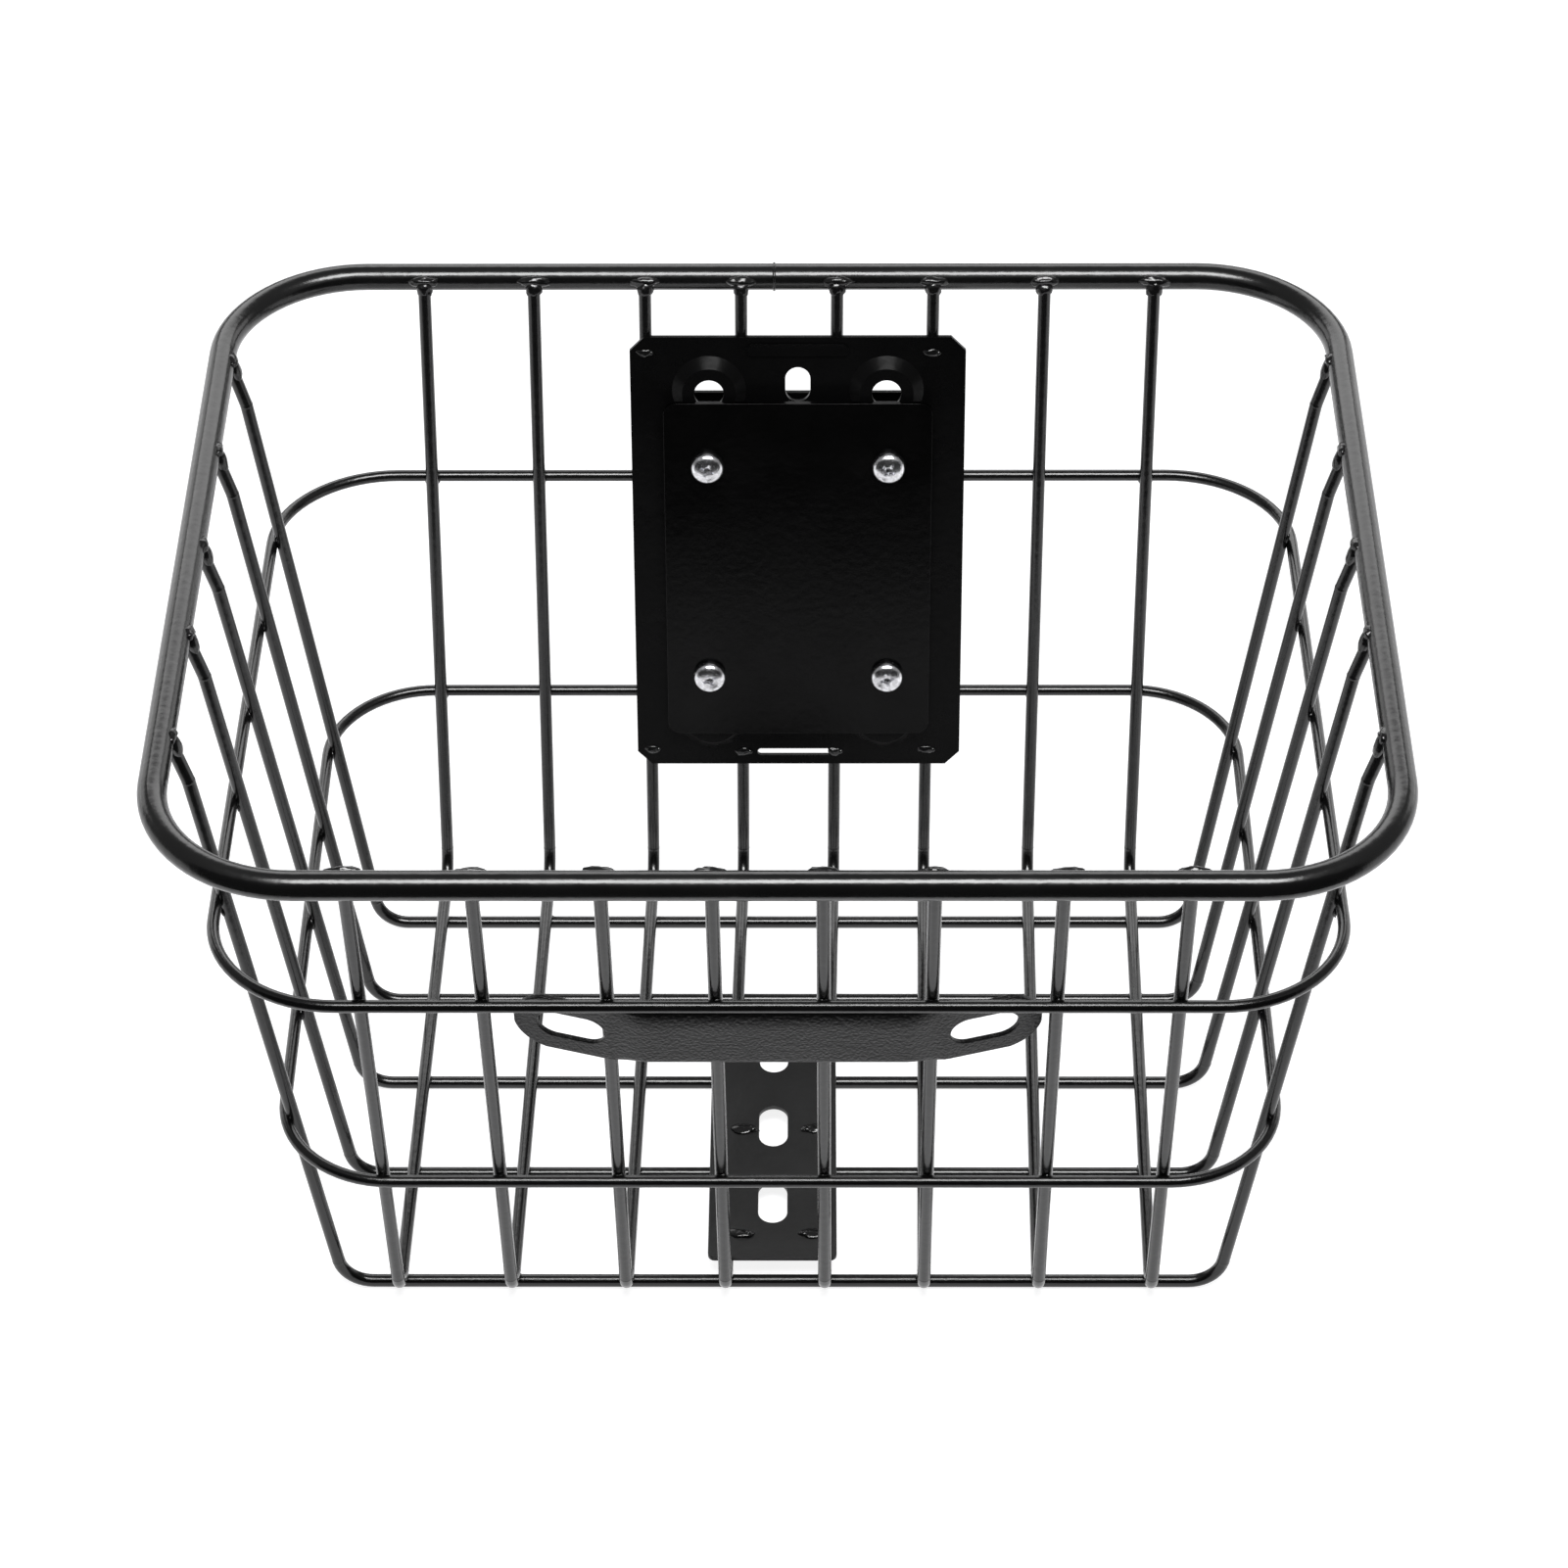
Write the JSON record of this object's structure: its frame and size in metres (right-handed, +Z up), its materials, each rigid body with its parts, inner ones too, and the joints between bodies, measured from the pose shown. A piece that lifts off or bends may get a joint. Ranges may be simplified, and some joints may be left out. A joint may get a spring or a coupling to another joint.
{
  "type": "bicycle handlebar basket",
  "caption": "Open welded wire basket that bolts in front of a bicycle handlebar, with a steel clamp plate at the back, a slotted floor plate and a slotted front bracket.",
  "frame": {"origin": "on the ground under the middle of the rim, at the bottom centre of the bounding box", "axes": "+X to the right seen from the front, +Y towards the bicycle, where the mount plate is, +Z up"},
  "size_m": [0.338, 0.282, 0.21],
  "materials": {
    "black_wire_coat": "semi-gloss black powder coat on wire",
    "black_plate_coat": "satin black powder coat on sheet",
    "zinc_plated_steel": "bright zinc plating"
  },
  "bodies": {
    "root": {"rim": "black_wire_coat", "long_wire_1": "black_wire_coat", "long_wire_2": "black_wire_coat", "long_wire_3": "black_wire_coat", "long_wire_4": "black_wire_coat", "long_wire_5": "black_wire_coat", "long_wire_6": "black_wire_coat", "long_wire_7": "black_wire_coat", "long_wire_8": "black_wire_coat", "cross_wire_1": "black_wire_coat", "cross_wire_2": "black_wire_coat", "cross_wire_3": "black_wire_coat", "cross_wire_4": "black_wire_coat", "cross_wire_5": "black_wire_coat", "upper_ring": "black_wire_coat", "lower_ring": "black_wire_coat", "mount_plate": "black_plate_coat", "cover_plate": "black_plate_coat", "rear_plate": "black_plate_coat", "floor_plate": "black_plate_coat", "front_bracket": "black_plate_coat", "clamp_screws": "zinc_plated_steel", "clamp_washers": "zinc_plated_steel", "clamp_nuts": "zinc_plated_steel"}
  },
  "joints": []
}
